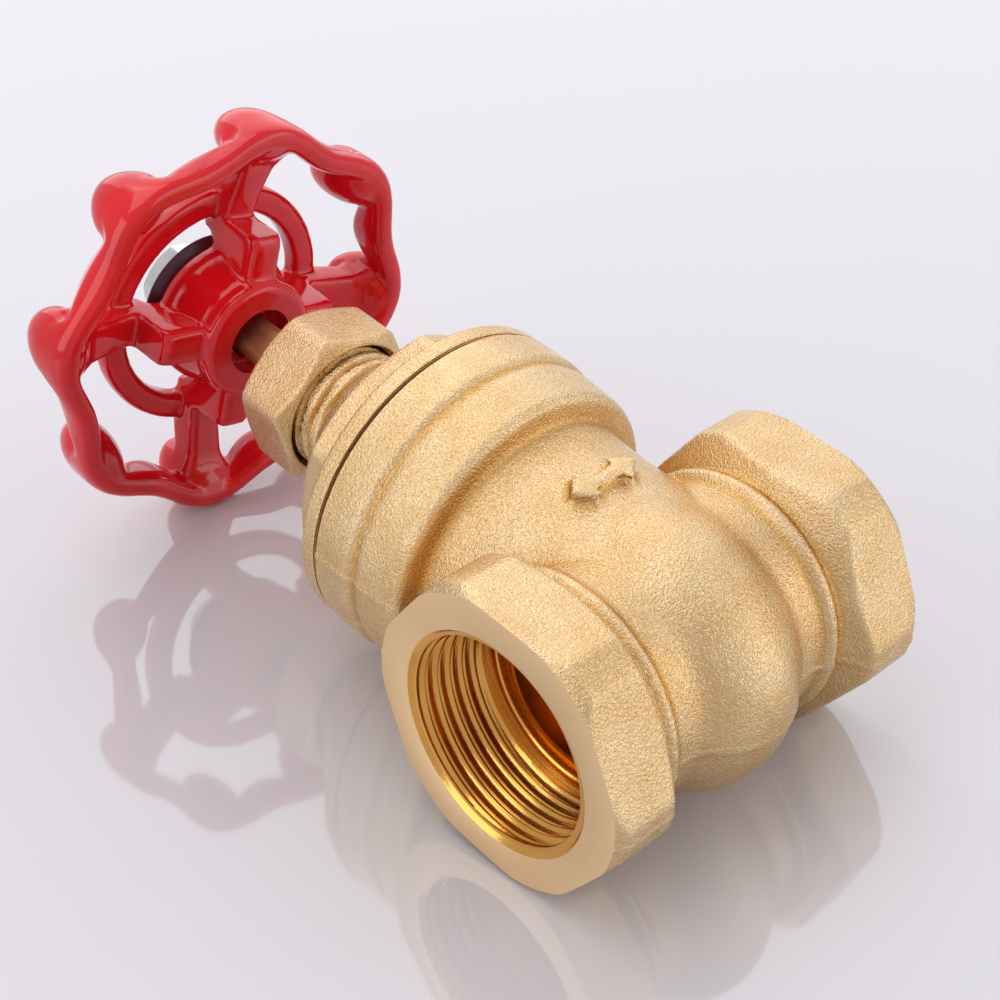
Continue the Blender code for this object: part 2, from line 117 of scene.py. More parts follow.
def turned(name, corners, radius=0.2, steps=4, columns=96, axis="z", loop=True):
    """Piece turned on a lathe: the eased profile of (radius, height) carried round the stem axis, or with
    axis x round the flow axis. With loop the profile is a closed line, otherwise it starts and ends on
    the axis."""
    path = rounded(corners, radius, steps)
    if not loop:
        path = path[steps:-steps]
    around = np.linspace(0.0, 2.0 * np.pi, columns, endpoint=False)
    first = path[:, :1] * np.cos(around)
    second = path[:, :1] * np.sin(around)
    height = np.repeat(path[:, 1:], columns, axis=1)
    order = [first, second, height] if axis == "z" else [height, first, second]
    return skin(name, np.stack(order, axis=-1), loop)


def bake(piece):
    """Puts the result of a piece's modifiers into its mesh."""
    bpy.context.view_layer.update()
    graph = bpy.context.evaluated_depsgraph_get()
    mesh = bpy.data.meshes.new_from_object(piece.evaluated_get(graph))
    piece.modifiers.clear()
    piece.data = mesh
    return piece


def cast(name, pieces, grain, passes):
    """Melts closed pieces into one skin of even quads, grain mm across, and eases its corners."""
    bpy.ops.object.select_all(action="DESELECT")
    for piece in pieces:
        piece.select_set(True)
    whole = pieces[0]
    bpy.context.view_layer.objects.active = whole
    bpy.ops.object.join()
    whole.name = name
    melt = whole.modifiers.new("Melt", "REMESH")
    melt.mode = "VOXEL"
    melt.voxel_size = grain * 0.001
    melt.use_smooth_shade = True
    ease = whole.modifiers.new("Ease", "SMOOTH")
    ease.factor = 0.5
    ease.iterations = passes
    return bake(whole)


def cut(piece, cutters, operation="DIFFERENCE"):
    """Takes closed cutters out of a piece, or adds them to it."""
    for cutter in cutters:
        step = piece.modifiers.new("Cut", "BOOLEAN")
        step.operation = operation
        step.solver = "MANIFOLD"
        step.object = cutter
    bake(piece)
    for cutter in cutters:
        bpy.data.objects.remove(cutter, do_unlink=True)
    return piece


def hexagon(angle, flat, turn=0.0):
    """Distance from the axis to the side of a hexagon: flat over the cosine of the angle from the middle
    of the nearest side."""
    return flat / np.cos(np.mod(angle - turn, math.pi / 3) - math.pi / 6)


def prism(name, outline, low, high, turn):
    """Flat outline of (u, v) carried straight from low to high; turn puts (u, v, w) on the valve's axes."""
    outline = np.asarray(outline, float)
    ring = np.repeat(outline[None], 2, axis=0)
    height = np.broadcast_to(np.array([low, high]).reshape(2, 1, 1), (2, len(outline), 1))
    u, v, w = np.moveaxis(np.concatenate([ring, height], axis=-1), -1, 0)
    return skin(name, np.stack(turn(u, v, w), axis=-1))


def screw_thread(name, root, crest, pitch, low, high, side, columns=96):
    """Closed rod with a helical thread round the flow axis: in each turn the radius goes crest, root, crest
    over one pitch, the turn climbs by one pitch per round, and both ends fade to the crest radius."""
    across = np.array([0.0, 0.08, 0.18, 0.32, 0.46, 0.54, 0.62, 0.72, 0.84, 0.94])
    depth = np.array([0.0, 0.05, 0.28, 0.64, 0.96, 1.0, 0.97, 0.72, 0.36, 0.08])
    turns = int(math.ceil((high - low) / pitch)) + 1
    row_climb = (np.arange(turns)[:, None] + across[None]).reshape(-1, 1)
    row_depth = np.tile(depth, turns).reshape(-1, 1)
    column = np.arange(columns).reshape(1, -1) / columns
    height = np.clip(low + pitch * (row_climb + column - 1.0), low, high)
    fade = np.clip((height - low) / (0.7 * pitch), 0, 1) * np.clip((high - height) / (0.7 * pitch), 0, 1)
    radius = crest + (root - crest) * row_depth * fade
    angle = 2.0 * np.pi * column * side
    points = np.stack([height * side, radius * np.cos(angle), radius * np.sin(angle)], axis=-1)
    rows = points.shape[0]
    index = np.arange(rows * columns).reshape(rows, columns)
    wrapped = np.concatenate([index[len(across) :, :1], np.full((len(across), 1), index[-1, 0])])
    index = np.hstack([index, wrapped])
    quads = np.stack([index[:-1, :-1], index[:-1, 1:], index[1:, 1:], index[1:, :-1]], axis=-1)
    faces = quads.reshape(-1, 4).tolist()
    middle = rows * columns
    faces += np.stack([index[0, 1:], index[0, :-1], np.full(columns, middle)], axis=-1).tolist()
    faces += np.stack([index[-1, :-1], index[-1, 1:], np.full(columns, middle + 1)], axis=-1).tolist()
    ends = [(low * side, 0.0, 0.0), (high * side, 0.0, 0.0)]
    everything = np.vstack([points.reshape(-1, 3), ends])
    mesh = bpy.data.meshes.new(name)
    mesh.from_pydata(lay_down(everything).tolist(), [], faces)
    mesh.shade_smooth()
    made = bpy.data.objects.new(name, mesh)
    bpy.context.scene.collection.objects.link(made)
    weld = made.modifiers.new("Weld", "WELD")
    weld.merge_threshold = 0.000002
    return bake(made)


def raise_seam(piece):
    """Parting line of the dies, a low ridge where the casting crosses the plane across 0: each point moves
    out along its normal by the height times e to the minus square of its distance over the width."""
    points = np.empty(3 * len(piece.data.vertices))
    normals = np.empty(3 * len(piece.data.vertices))
    piece.data.vertices.foreach_get("co", points)
    piece.data.vertex_normals.foreach_get("vector", normals)
    points = points.reshape(-1, 3)
    across = (points[:, 1] * 1000.0 + STEM_MIDDLE) * math.sin(LEAN)
    across -= (points[:, 2] * 1000.0 - AXIS_HEIGHT) * math.cos(LEAN)
    ridge = 0.001 * SEAM_HEIGHT * np.exp(-((across / SEAM_WIDTH) ** 2))
    points += normals.reshape(-1, 3) * ridge[:, None]
    piece.data.vertices.foreach_set("co", points.ravel())
    piece.data.update()


around = np.linspace(0.0, 2.0 * np.pi, 180, endpoint=False)[None]
along = np.linspace(-25.4, 25.4, 150)[:, None]
port_profile = [
    (0.0, 14.2),
    (11.9, 14.2),
    (12.6, 15.3),
    (13.4, 15.3),
    (14.1, 14.4),
    (14.5, 14.9),
    (16.4, 18.35),
    (23.4, 18.35),
    (24.4, 17.4),
    (25.4, 16.4),
]
port_reach, port_radius = np.array(port_profile).T
ports = np.minimum(
    hexagon(around, HEX_FLAT + 0.03, math.pi / 2),
    np.interp(np.abs(along), port_reach, port_radius),
)
belly = np.sqrt(np.clip(1.0 - (along / 12.6) ** 2, 0, 1)) / np.sqrt(
    (np.cos(around) / 17.0) ** 2 + (np.sin(around) / 18.0) ** 2
)
outside = 0.5 * (ports + belly + np.sqrt((ports - belly) ** 2 + 0.8**2))
outside_points = np.stack(
    [along + 0.0 * around, outside * np.cos(around), outside * np.sin(around)], axis=-1
)
barrel = skin("barrel", outside_points)
neck = turned(
    "neck",
    [
        (0.0, 2.0),
        (15.9, 2.0),
        (16.1, 16.0),
        (16.4, 20.1),
        (17.0, 20.5),
        (19.1, 20.7),
        (19.6, 21.5),
        (20.0, 27.2),
        (19.65, 27.7),
        (19.7, 28.1),
        (20.4, 28.6),
        (20.4, 34.6),
        (0.0, 34.6),
    ],
    0.35,
    3,
    columns=180,
    loop=False,
)
arrow = [(-5, 0), (-2.5, 2.3), (-2.5, 0.75), (2.5, 0.75), (2.5, 2.3)]
arrow += [(5, 0), (2.5, -2.3), (2.5, -0.75), (-2.5, -0.75), (-2.5, -2.3)]
mark = prism("mark", arrow, 12.9, 17.1, lambda u, v, w: (u, -w, v + 10.5))
body = cast("valve_casting", [barrel, neck, mark], 0.4, 3)
raise_seam(body)
cutters = []
for side in (1, -1):
    face = [(0.0, 23.8), (12.8, 23.8), (13.25, HALF_LENGTH), (22.0, HALF_LENGTH)]
    face += [(22.0, 27.0), (0.0, 27.0)]
    relief = [(0.0, 12.8), (11.0, 12.8), (11.15, 12.55), (11.75, 12.55), (11.9, 12.8)]
    relief += [(13.25, 12.8), (13.25, 13.9), (12.1, 14.5), (0.0, 14.5)]
    bore = [(0.0, 1.0), (9.25, 1.0), (9.25, 12.5), (9.6, 13.2), (0.0, 13.2)]
    for name, outline in (("face", face), ("relief", relief), ("bore", bore)):
        outline = [(radius, side * height) for radius, height in outline]
        cutters.append(turned(name, outline, 0.05, 2, 128, "x", False))
    cutters.append(screw_thread("thread", THREAD_ROOT, THREAD_CREST, THREAD_PITCH, 14.2, 24.2, side, 128))
chamber_angle = np.linspace(0.0, 2.0 * np.pi, 96, endpoint=False)[None]
chamber_level = np.array([-7.2, 7.2])[:, None]
chamber_y = 12.4 * np.clip(1.35 * np.cos(chamber_angle), -1, 1)
chamber_z = np.where(
    np.sin(chamber_angle) > 0,
    27.5 * np.clip(1.6 * np.sin(chamber_angle), 0, 1),
    -11.7 * np.abs(np.sin(chamber_angle)),
)
chamber = skin(
    "chamber",
    np.stack(
        [
            chamber_level + 0 * chamber_y,
            chamber_y + 0 * chamber_level,
            chamber_z + 0 * chamber_level,
        ],
        -1,
    ),
)
seats = [
    turned(
        "seat",
        [(9.0, side * 8.0), (11.3, side * 8.0), (11.3, side * 6.3), (9.0, side * 6.3)],
        0.1,
        3,
        axis="x",
    )
    for side in (1, -1)
]
cutters.append(cut(chamber, seats))
cutters.append(
    turned(
        "mouth",
        [(0.0, 26.4), (16.0, 26.4), (16.0, 32.5), (19.0, 32.5), (19.0, 33.7)]
        + [(24.0, 33.7), (24.0, 36.0), (0.0, 36.0)],
        0.05,
        2,
        128,
        "z",
        False,
    )
)
body = cut(body, cutters)
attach(body, "valve_body")
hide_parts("body")
body.data.set_sharp_from_angle(angle=math.radians(40))


class Wire:
    """One output of a material's nodes. Arithmetic on it adds Math nodes to the same material."""

    def __init__(self, finish, socket):
        self.finish = finish
        self.socket = socket

    def math(self, operation, *terms):
        return self.finish.node("ShaderNodeMath", {"operation": operation}, dict(enumerate(terms)))

    def __add__(self, other):
        return self.math("ADD", self, other)

    def __radd__(self, other):
        return self.math("ADD", other, self)

    def __sub__(self, other):
        return self.math("SUBTRACT", self, other)

    def __rsub__(self, other):
        return self.math("SUBTRACT", other, self)

    def __mul__(self, other):
        return self.math("MULTIPLY", self, other)

    def __rmul__(self, other):
        return self.math("MULTIPLY", other, self)

    def __truediv__(self, other):
        return self.math("DIVIDE", self, other)

    def __pow__(self, other):
        return self.math("POWER", self, other)

    def __abs__(self):
        return self.math("ABSOLUTE", self)

    def wave(self):
        return self.math("SINE", self)

    def over(self, level, width):
        """0 well below level and 1 well above it, with an even slope of the given width between."""
        return self.finish.node(
            "ShaderNodeMapRange",
            {"interpolation_type": "SMOOTHSTEP"},
            {"Value": self, "From Min": level - 0.5 * width, "From Max": level + 0.5 * width},
        )


class Finish:
    """A material, the places on it in the valve's own axes in mm, and the methods that add its nodes."""

    def __init__(self, name):
        self.material = bpy.data.materials.new(name)
        self.material.use_nodes = True
        self.tree = self.material.node_tree
        self.tree.nodes.clear()
        self.place = self.node("ShaderNodeTexCoord", output="Object")
        self.x, along, up = (self.part(axis) * 1000.0 for axis in "XYZ")
        along = along + STEM_MIDDLE
        up = up - AXIS_HEIGHT
        self.y = along * math.sin(LEAN) - up * math.cos(LEAN)
        self.z = along * math.cos(LEAN) + up * math.sin(LEAN)

    def node(self, kind, settings=None, inputs=None, output=0):
        """Adds a node: its settings first, then its sockets' values or links. Gives one output back."""
        made = self.tree.nodes.new(kind)
        for key, value in (settings or {}).items():
            setattr(made, key, value)
        for key, value in (inputs or {}).items():
            if isinstance(value, Wire):
                self.tree.links.new(value.socket, made.inputs[key])
            else:
                made.inputs[key].default_value = value
        return Wire(self, made.outputs[output]) if made.outputs else None

    def part(self, axis):
        return self.node("ShaderNodeSeparateXYZ", None, {"Vector": self.place}, axis)

    def noise(self, per_mm, detail=2.0, roughness=0.5, distortion=0.0):
        return self.node(
            "ShaderNodeTexNoise",
            None,
            {
                "Vector": self.place,
                "Scale": per_mm * 1000.0,
                "Detail": detail,
                "Roughness": roughness,
                "Distortion": distortion,
            },
            "Fac",
        )

    def blend(self, share, first, second):
        """Colour that goes from first to second as share goes from 0 to 1."""
        return self.node("ShaderNodeMix", {"data_type": "RGBA"}, {0: share, 6: first, 7: second}, 2)

    def mix(self, share, first, second):
        """Number that goes from first to second as share goes from 0 to 1."""
        return share * (second - first) + first

    def bump(self, height, reach, strength=1.0):
        """Normal of a height between 0 and 1 that stands reach mm proud."""
        return self.node(
            "ShaderNodeBump", None, {"Height": height, "Distance": reach * 0.001, "Strength": strength}
        )

    def shade(self, **sockets):
        named = {key.replace("_", " "): value for key, value in sockets.items()}
        shader = self.node("ShaderNodeBsdfPrincipled", None, named)
        self.node("ShaderNodeOutputMaterial", None, {"Surface": shader})
        return self.material


def from_axis(first, second):
    """Distance from an axis: the root of the sum of the two squares."""
    return (first * first + second * second) ** 0.5


def blasted_brass(name, machined, turning, bored=None):
    """Brass blasted with grit: fine pits and crystals over a slow drift of colour, with pale grit flecks
    that are partly painted glints. Creases and hollows get painted shade, sharp outer edges a painted
    highlight. Where machined is 1 the tool has left bare metal, with turned lines that repeat with the given
    distance in mm.
    Where the bore mask is 1 the cut metal is painted a deeper orange, painted shade and bounced light inside
    the bores."""
    finish = Finish(name)
    cut_metal = machined(finish)
    # Share of painted bore shade: the bore mask, or else a quarter of it over all cut metal.
    deep = bored(finish) if bored else cut_metal * 0.25
    grit = finish.noise(3.0, 2.0, 0.55)
    crystals = finish.noise(6.0, 2.0, 0.6)
    cloud = finish.noise(0.16, 3.0, 0.55)
    lines = (turning(finish) * 21.0 + finish.noise(0.5) * 5.0).wave() * 0.5 + 0.5
    # Pale flecks from the grit: partly the grit's own paler tone, partly painted glints of the blasted
    # surface.
    pale = (grit - 0.5).over(0.08, 0.22) * 0.22
    blasted = finish.blend(cloud.over(0.5, 0.5), BRASS, BRASS_PALE)
    blasted = finish.blend(pale, blasted, (0.97, 0.87, 0.68, 1.0))
    blasted = finish.blend((0.5 - crystals).over(0.09, 0.18) * 0.30, blasted, BRASS_DARK_CRYSTALS_AND_CREASE_SHADE)
    edge = finish.node("ShaderNodeNewGeometry", output="Pointiness")
    # Painted shade: creases and hollows, where pointiness is low, are darkened towards the dark brass.
    blasted = finish.blend((0.497 - edge).over(0.008, 0.02) * 0.85, blasted, BRASS_DARK_CRYSTALS_AND_CREASE_SHADE)
    # Painted highlight: sharp outer edges, where pointiness is high, are lightened towards pale brass.
    blasted = finish.blend((edge - 0.5).over(0.02, 0.03) * 0.12, blasted, (0.98, 0.86, 0.62, 1.0))
    bright = finish.blend(cloud, (0.88, 0.62, 0.33, 1.0), (0.92, 0.68, 0.39, 1.0))
    # Painted shade and bounced light: cut metal inside the bores is a deeper orange.
    bore_shade_orange = finish.blend(cloud, (0.74, 0.36, 0.07, 1.0), (0.82, 0.46, 0.12, 1.0))
    bright = finish.blend(deep, bright, bore_shade_orange)
    base = finish.blend(cut_metal, blasted, bright)
    blasted_rough = crystals * 0.14 + grit * 0.06 + 0.17
    cut_rough = finish.mix(deep, lines * 0.04 + cloud * 0.08 + 0.32, cloud * 0.06 + 0.15)
    rough = finish.mix(cut_metal, blasted_rough, cut_rough)
    height = finish.mix(cut_metal, grit * 0.95 + crystals * 0.30, lines * 0.02 + grit * 0.06)
    return finish.shade(
        Base_Color=base,
        Metallic=1.0,
        Roughness=rough,
        Normal=finish.bump(height, 0.17, 1.0),
    )


def body_cuts(finish):
    """1 on the faces of the two ports, in their sockets and on the joint under the bonnet."""
    from_flow = from_axis(finish.y, finish.z)
    from_stem = from_axis(finish.x, finish.y)
    face = abs(finish.x).over(HALF_LENGTH - 0.03, 0.02)
    socket = 1.0 - from_flow.over(13.5, 0.1)
    joint = finish.z.over(33.67, 0.02)
    inside = 1.0 - from_stem.over(19.1, 0.1)
    open_end = abs(finish.x).over(5.8, 0.1)
    mouth = finish.z.over(26.3, 0.1) * inside
    cuts = face + socket * open_end + joint + mouth
    return cuts.math("MINIMUM", cuts, 1.0)


body.data.materials.clear()
body.data.materials.append(
    blasted_brass(
        "cast_brass_body",
        body_cuts,
        lambda finish: from_axis(finish.y, finish.z),
        # Bore mask: painted shade inside the threaded sockets.
        lambda finish: 1.0 - from_axis(finish.y, finish.z).over(13.25, 0.1),
    )
)


# Bonnet: a brass forging screwed down on the body. Its flange covers the joint, a low hexagon takes the
# wrench, and a cone leads to the turned neck, whose coarse thread holds the packing nut.
def ring_rows(path, columns, flat=None, share=None, turn=0.0):
    """Rings of a turned piece whose radius is held, where share is 1, to the side of a hexagon. Its corner
    is eased: both limits are joined by the soft minimum, half the sum less the root of the squares."""
    angle = np.linspace(0.0, 2.0 * np.pi, columns, endpoint=False)[None]
    radius = np.repeat(path[:, :1], columns, axis=1)
    height = np.repeat(path[:, 1:], columns, axis=1)
    if flat is not None:
        side = hexagon(angle, flat, turn) + 0.0 * radius
        held = 0.5 * (radius + side - np.sqrt((radius - side) ** 2 + 0.25**2))
        radius = np.where(share[:, None], held, radius)
    return np.stack([radius * np.cos(angle), radius * np.sin(angle), height], axis=-1)


def divided(path, longest):
    """The same path with points added so that no step is longer than the given distance."""
    step = np.linalg.norm(np.diff(path, axis=0, append=path[:1]), axis=1)
    pieces = np.maximum(np.ceil(step / longest).astype(int), 1)
    start = np.repeat(path, pieces, axis=0)
    span = np.repeat(np.roll(path, -1, 0) - path, pieces, axis=0)
    count = np.repeat(pieces, pieces)
    order = np.arange(len(count)) - np.repeat(np.cumsum(pieces) - pieces, pieces)
    return start + span * (order / count)[:, None]


def neck_thread(z, angle):
    """Height of the neck's thread at a place: broad crests between narrow grooves, 1.9 mm from crest to
    crest, that climb once per turn and fade out above the shoulder."""
    phase = np.mod(z / 1.9 - angle / (2.0 * np.pi), 1.0)
    crest = np.clip(2.6 - 5.4 * np.abs(phase - 0.5), 0.0, 1.0)
    return crest * np.clip((z - 47.4) / 0.5, 0, 1) * np.clip((59.4 - z) / 0.5, 0, 1)


bonnet_path = rounded(
    [
        (4.1, 40.6),
        (4.1, 49.0),
        (6.5, 49.0),
        (6.5, 59.2),
        (7.7, 59.2),
        (8.3, 58.6),
        (8.3, 47.0),
        (10.3, 47.0),
        (11.1, 46.0),
        (11.9, 44.4),
        (16.2, 41.7),
        (18.3, 40.3),
        (18.3, 36.8),
        (19.7, 36.8),
        (20.35, 36.3),
        (20.35, 34.45),
        (20.1, 34.2),
        (15.6, 34.2),
        (15.6, 27.0),
        (13.3, 27.0),
        (13.3, 37.4),
        (9.0, 39.4),
    ],
    0.35,
    5,
)
bonnet_path = divided(bonnet_path, 0.3)
outer = (bonnet_path[:, 0] > 9.4) & (bonnet_path[:, 1] > 37.0)
outer &= bonnet_path[:, 1] > 39.6 - (bonnet_path[:, 0] - 9.0) * 0.45
outer |= (bonnet_path[:, 0] > 15.0) & (bonnet_path[:, 1] > 36.95)
bonnet_rings = ring_rows(bonnet_path, 160, 16.0, outer, math.radians(30))
bonnet_angle = np.arctan2(bonnet_rings[..., 1], bonnet_rings[..., 0])
bonnet_reach = np.hypot(bonnet_rings[..., 0], bonnet_rings[..., 1])
on_neck = (bonnet_reach > 8.0) & (bonnet_reach < 8.35) & (bonnet_rings[..., 2] > 47.2)
sunk = np.where(on_neck, 0.75 * (1.0 - neck_thread(bonnet_rings[..., 2], bonnet_angle)), 0.0)
sunk *= np.clip((bonnet_rings[..., 2] - 47.3) / 0.4, 0, 1)
bonnet_rings[..., :2] *= (1.0 - sunk / bonnet_reach)[..., None]
bonnet = skin("bonnet_forging", bonnet_rings, True)
bonnet.data.set_sharp_from_angle(angle=math.radians(50))


def bonnet_cuts(finish):
    """1 in the packing box, on the joint face and on the skirt below it."""
    from_stem = from_axis(finish.x, finish.y)
    bore = finish.z.over(46.6, 0.2) * (1.0 - from_stem.over(7.2, 0.2))
    skirt = 1.0 - finish.z.over(34.3, 0.1)
    cuts = bore + skirt
    return cuts.math("MINIMUM", cuts, 1.0)


bonnet.data.materials.append(
    blasted_brass("cast_brass_bonnet", bonnet_cuts, lambda finish: from_axis(finish.x, finish.y))
)
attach(bonnet, "valve_body")
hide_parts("bonnet")


# Gasket, washer, packing rings and gland: small rings stamped or pressed to size, stacked on the stem
# axis inside the bonnet. The fibre gasket shows as a dark line in the joint under the flange.
def soft_ring(name, dark, light, grain, gloss):
    """Pressed fibre or seal: short fibres in two tones with a matt, slightly hairy surface."""
    finish = Finish(name)
    fibre = finish.noise(grain, 4.0, 0.7, 1.5)
    cloud = finish.noise(0.4, 2.0)
    base = finish.blend(fibre.over(0.5, 0.4), dark, light)
    return finish.shade(
        Base_Color=base,
        Metallic=0.0,
        Roughness=fibre * 0.2 + cloud * 0.1 + gloss,
        Normal=finish.bump(fibre, 0.05, 0.7),
    )


fibre_grey = soft_ring("grey_fibre_gasket", (0.05, 0.05, 0.05, 1.0), (0.16, 0.15, 0.14, 1.0), 4.0, 0.6)
seal_white = soft_ring("white_seal_rings", (0.62, 0.61, 0.56, 1.0), (0.80, 0.79, 0.75, 1.0), 2.0, 0.35)
turned_brass = blasted_brass(
    "bar_brass_rings",
    lambda finish: finish.noise(0.3).over(-1.0, 0.1),
    lambda finish: from_axis(finish.x, finish.y),
)
for node_name, material in (
    ("bonnet_gasket", fibre_grey),
    ("thrust_washer", turned_brass),
    ("packing_ring_lower", seal_white),
    ("packing_ring_middle", seal_white),
    ("packing_ring_upper", seal_white),
    ("gland_follower", turned_brass),
):
    for material_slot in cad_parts[node_name].material_slots:
        material_slot.material = material


# Packing nut: hexagon bar, turned to length with both ends chamfered, then blasted. It screws over the
# bonnet's neck and presses the packing round the stem.
NUT_TURN = math.radians(13.6)
nut_path = divided(
    rounded(
        [
            (3.8, 59.8),
            (8.6, 59.8),
            (8.6, 53.3),
            (9.0, 52.4),
            (9.3, 52.4),
            (11.1, 53.7),
            (11.1, 60.1),
            (9.7, 60.9),
            (3.8, 60.9),
        ],
        0.22,
        4,
    ),
    0.35,
)
nut_rings = ring_rows(nut_path, 144, 9.85, nut_path[:, 0] > 9.1, NUT_TURN)
packing_nut = skin("packing_nut_hexagon", nut_rings, True)
packing_nut.data.set_sharp_from_angle(angle=math.radians(50))
packing_nut.data.materials.append(
    blasted_brass(
        "cast_brass_packing_nut",
        lambda finish: 1.0 - from_axis(finish.x, finish.y).over(8.9, 0.1),
        lambda finish: from_axis(finish.x, finish.y),
    )
)
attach(packing_nut, "valve_body")
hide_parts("packing_nut")


# Stem: drawn brass bar, turned, with a coarse left-hand thread in the wedge, a thrust collar in the
# packing box, a square for the handwheel and a fine thread for its nut.
WHEEL_TURN = math.radians(12.0)
stem_levels = np.concatenate(
    [
        np.linspace(2.2, 49.0, 200),
        np.linspace(49.25, 51.3, 16),
        np.linspace(51.5, 62.0, 20),
        np.linspace(62.3, 63.4, 10),
        np.linspace(64.0, 81.0, 24),
        np.linspace(81.15, 89.2, 80),
    ]
)
stem_angle = np.linspace(0.0, 2.0 * np.pi, 96, endpoint=False)[None]
level = stem_levels[:, None]
lead_phase = np.mod(level / 2.0 + stem_angle / (2.0 * np.pi), 1.0)
lead_crest = np.clip(1.7 - 4.4 * np.abs(lead_phase - 0.5), 0.0, 1.0)
lead_fade = np.clip((level - 2.6) / 1.2, 0, 1) * np.clip((47.5 - level) / 1.5, 0, 1)
lead_part = 2.85 + 0.7 * lead_crest * lead_fade - 0.5 * np.clip((3.2 - level) / 1.0, 0, 1)
collar_part = np.interp(level, [49.25, 49.5, 51.0, 51.3], [3.3, 6.05, 6.05, 3.3])
square_side = 2.65 / np.cos(np.mod(stem_angle - WHEEL_TURN, math.pi / 2) - math.pi / 4)
square_part = 0.5 * (3.25 + square_side - np.sqrt((3.25 - square_side) ** 2 + 0.12**2))
square_share = np.clip((level - 62.3) / 1.1, 0, 1)
shank_part = 3.25 * (1 - square_share) + square_part * square_share
fine_phase = np.mod(level / 0.8 - stem_angle / (2.0 * np.pi), 1.0)
tip_part = 2.45 + 0.33 * np.clip(1.5 - 3.0 * np.abs(fine_phase - 0.5), 0.0, 1.0)
tip_part = np.minimum(tip_part, 2.78 - 0.9 * np.clip(level - 88.5, 0, 1))
stem_radius = np.where(level < 49.2, lead_part, np.where(level < 51.4, collar_part, shank_part))
stem_radius = np.where(level > 81.1, tip_part, stem_radius)
stem_points = np.stack(
    [stem_radius * np.cos(stem_angle), stem_radius * np.sin(stem_angle), level + 0.0 * stem_angle], axis=-1
)
stem = skin("stem_bar", stem_points)
stem.data.set_sharp_from_angle(angle=math.radians(45))


def drawn_brass(name):
    """Drawn bar gone brown in the air: long streaks along the stem, darker stain in clouds, faint wear."""
    finish = Finish(name)
    streak = finish.node(
        "ShaderNodeTexNoise",
        None,
        {
            "Vector": finish.node(
                "ShaderNodeCombineXYZ", None, {"X": finish.x, "Y": finish.y, "Z": finish.z * 0.08}
            ),
            "Scale": 5.0,
            "Detail": 3.0,
        },
        "Fac",
    )
    stain = finish.noise(0.45, 4.0, 0.6)
    grain = finish.noise(6.0, 2.0)
    base = finish.blend(streak.over(0.5, 0.8), (0.44, 0.29, 0.13, 1.0), (0.56, 0.39, 0.19, 1.0))
    base = finish.blend(stain.over(0.56, 0.25) * 0.4, base, (0.30, 0.18, 0.08, 1.0))
    return finish.shade(
        Base_Color=base,
        Metallic=1.0,
        Roughness=streak * 0.15 + grain * 0.15 + 0.26,
        Normal=finish.bump(streak * 0.6 + grain * 0.4, 0.05, 0.7),
    )


stem.data.materials.append(drawn_brass("bar_brass_stem"))
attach(stem, "stem_and_wheel")
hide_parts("stem")


# Wedge: a cast brass gate with a turned sealing ring on each side, two guide slots and a threaded head
# that the stem draws up. Its face shows at the end of the port.
for material_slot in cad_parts["wedge"].material_slots:
    material_slot.material = blasted_brass(
        "cast_brass_wedge",
        lambda finish: abs(finish.x).over(5.75, 0.1),
        lambda finish: from_axis(finish.y, finish.z),
        # Bore mask: the wedge's faces, deep in the port, are painted the deeper orange of shade inside the
        # bores.
        lambda finish: abs(finish.x).over(5.0, 0.1),
    )


# Handwheel: cast iron dipped in thick red enamel. A bell-shaped hub, four deep ribs that run out as
# spokes through a raised ring, and a waved rim with eight rounded knobs on its outer side.
RIM_INSIDE = 24.0
RIM_OUTSIDE = 27.45
RIM_WAVE = 1.1
RIM_LOW = 73.3
CROWN_REACH = [30.0, 26.6, 23.6]
CROWN_LEVEL = [73.7, 76.4, 80.2]
KNOB_REACH = 25.1
KNOB_LEVEL = 79.2
KNOB_DEPTH = 3.4
KNOB_WIDTH = 4.8
KNOB_HEIGHT = 5.5


def wheel_rim(angle, section):
    """Rim surface: both sides go in and out by a cosine with eight waves. Round the section the bar is a
    superellipse, and between the lobes its outer side is held under a crown that falls inwards away from
    the valve."""
    wave = np.cos(8.0 * (angle - WHEEL_TURN))
    across = np.sign(np.cos(section)) * np.abs(np.cos(section)) ** 0.7
    rise = np.sign(np.sin(section)) * np.abs(np.sin(section)) ** 0.6
    lobe = np.clip(wave, 0.0, 1.0)
    inside = RIM_INSIDE + RIM_WAVE * wave
    out = RIM_OUTSIDE + RIM_WAVE * wave
    top = np.interp(inside + 1.0 - 2.2 * lobe, CROWN_REACH[::-1], CROWN_LEVEL[::-1])
    height = 0.5 * (RIM_LOW + top) + 0.5 * (top - RIM_LOW) * rise
    crown = np.interp(height, CROWN_LEVEL, CROWN_REACH) + 4.5 * lobe
    radius = 0.5 * (out + inside) + 0.5 * (out - inside) * across
    radius = np.minimum(radius, crown)
    return np.stack([radius * np.cos(angle), radius * np.sin(angle), height], axis=-1)


def wheel_knob(name, turn):
    """Knob: an egg that is wider on the valve's side and leans towards the stem as it rises away from the
    valve. Rings of cosine and sine, shifted inwards and narrowed in proportion to the height."""
    polar = np.linspace(0.06, math.pi - 0.06, 28)[:, None]
    around_knob = np.linspace(0.0, 2.0 * np.pi, 36, endpoint=False)[None]
    lift = -KNOB_HEIGHT * np.cos(polar) + 0.0 * around_knob
    reach = KNOB_REACH - 0.13 * lift + KNOB_DEPTH * np.sin(polar) * np.cos(around_knob)
    side = (KNOB_WIDTH - 0.2 * lift) * np.sin(polar) * np.sin(around_knob)
    x = reach * math.cos(turn) - side * math.sin(turn)
    y = reach * math.sin(turn) + side * math.cos(turn)
    return skin(name, np.stack([x, y, KNOB_LEVEL + lift], axis=-1))


